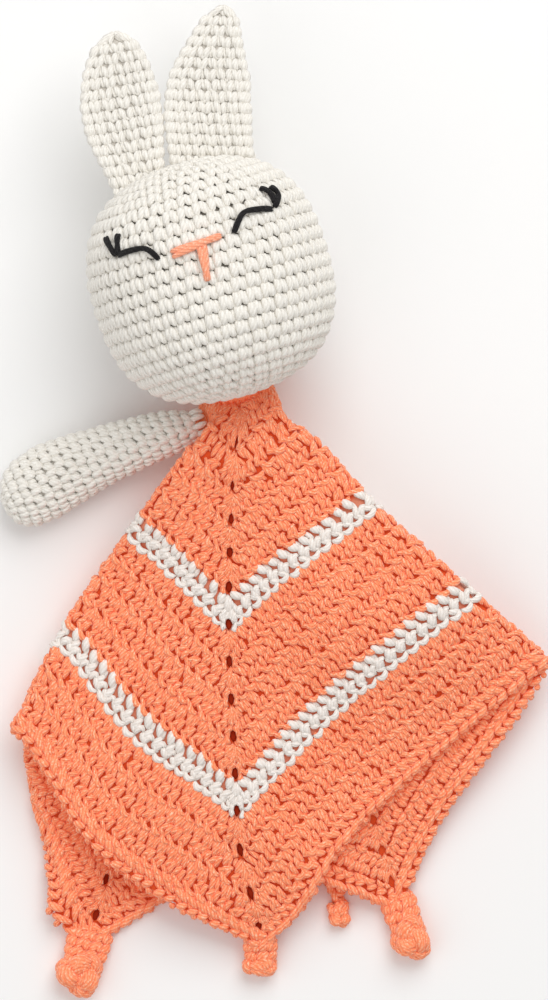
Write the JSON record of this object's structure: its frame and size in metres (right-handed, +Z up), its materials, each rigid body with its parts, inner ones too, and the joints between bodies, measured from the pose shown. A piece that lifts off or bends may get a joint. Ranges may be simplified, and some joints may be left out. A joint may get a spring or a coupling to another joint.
{
  "type": "comfort blanket lovey",
  "caption": "Crocheted rabbit comfort blanket lying on its back: a stuffed head with flat ears, stuffed arms and a folded square blanket with knotted corners.",
  "frame": {"origin": "middle of the bounding box, on the floor that the toy lies on", "axes": "+Y from the blanket's corners towards the ears, +X towards the viewer's right, +Z up out of the face"},
  "size_m": [0.2074, 0.3721, 0.0921],
  "materials": {
    "cream_yarn": "matte",
    "white_yarn": "matte",
    "coral_yarn": "matte",
    "black_yarn": "matte",
    "rose_yarn": "matte",
    "fibre_filling": "loose fibre"
  },
  "bodies": {
    "blanket": {"blanket_centre": "coral_yarn", "blanket_inner_stripe": "white_yarn", "blanket_middle_band": "coral_yarn", "blanket_outer_stripe": "white_yarn", "blanket_outer_band": "coral_yarn", "blanket_edging": "coral_yarn", "knot_front": "coral_yarn", "knot_right": "coral_yarn", "knot_back": "coral_yarn", "knot_left": "coral_yarn"},
    "neck": {"neck_thread": "coral_yarn"},
    "head": {"head_shell": "cream_yarn", "head_stuffing": "fibre_filling", "ear_left_thread": "cream_yarn", "ear_right_thread": "cream_yarn", "eye_left_lid": "black_yarn", "eye_left_lash_outer": "black_yarn", "eye_left_lash_inner": "black_yarn", "eye_right_lid": "black_yarn", "eye_right_lash_outer": "black_yarn", "eye_right_lash_inner": "black_yarn", "nose_bar": "rose_yarn", "nose_stem": "rose_yarn"},
    "ear_left": {"ear_left": "cream_yarn"},
    "ear_right": {"ear_right": "cream_yarn"},
    "shoulder_left": {"arm_left_thread": "cream_yarn"},
    "arm_left": {"arm_left_shell": "cream_yarn", "arm_left_stuffing": "fibre_filling"},
    "arm_right": {"arm_right_shell": "cream_yarn", "arm_right_stuffing": "fibre_filling", "arm_right_thread": "cream_yarn"}
  },
  "joints": [
    {"name": "neck_nod", "type": "hinge", "parent": "blanket", "child": "neck", "pos_m": [-0.01389, 0.03808, 0.02506], "axis": [0.972, 0.2352, 0], "range_deg": [0, 30]},
    {"name": "head_twist", "type": "hinge", "parent": "neck", "child": "head", "pos_m": [-0.0152, 0.0435, 0.01676], "axis": [-0.1952, 0.8066, 0.5579], "range_deg": [-30, 30]},
    {"name": "ear_left_fold", "type": "hinge", "parent": "head", "child": "ear_left", "pos_m": [-0.05101, 0.12162, 0.0502], "axis": [0.9856, 0.169, 0], "range_deg": [0, 50]},
    {"name": "ear_right_fold", "type": "hinge", "parent": "head", "child": "ear_right", "pos_m": [-0.02206, 0.12994, 0.0502], "axis": [0.9993, -0.0366, 0], "range_deg": [0, 60]},
    {"name": "arm_left_swing", "type": "hinge", "parent": "blanket", "child": "shoulder_left", "pos_m": [-0.03937, 0.02562, 0.0191], "axis": [0, 0, 1], "range_deg": [-35, 10]},
    {"name": "arm_left_lift", "type": "hinge", "parent": "shoulder_left", "child": "arm_left", "pos_m": [-0.03937, 0.02562, 0.0191], "axis": [-0.3907, 0.9205, 0], "range_deg": [0, 60]},
    {"name": "arm_right_swing", "type": "hinge", "parent": "blanket", "child": "arm_right", "pos_m": [0.00883, 0.0196, 0.0205], "axis": [0, 0, 1], "range_deg": [-5, 40]}
  ]
}
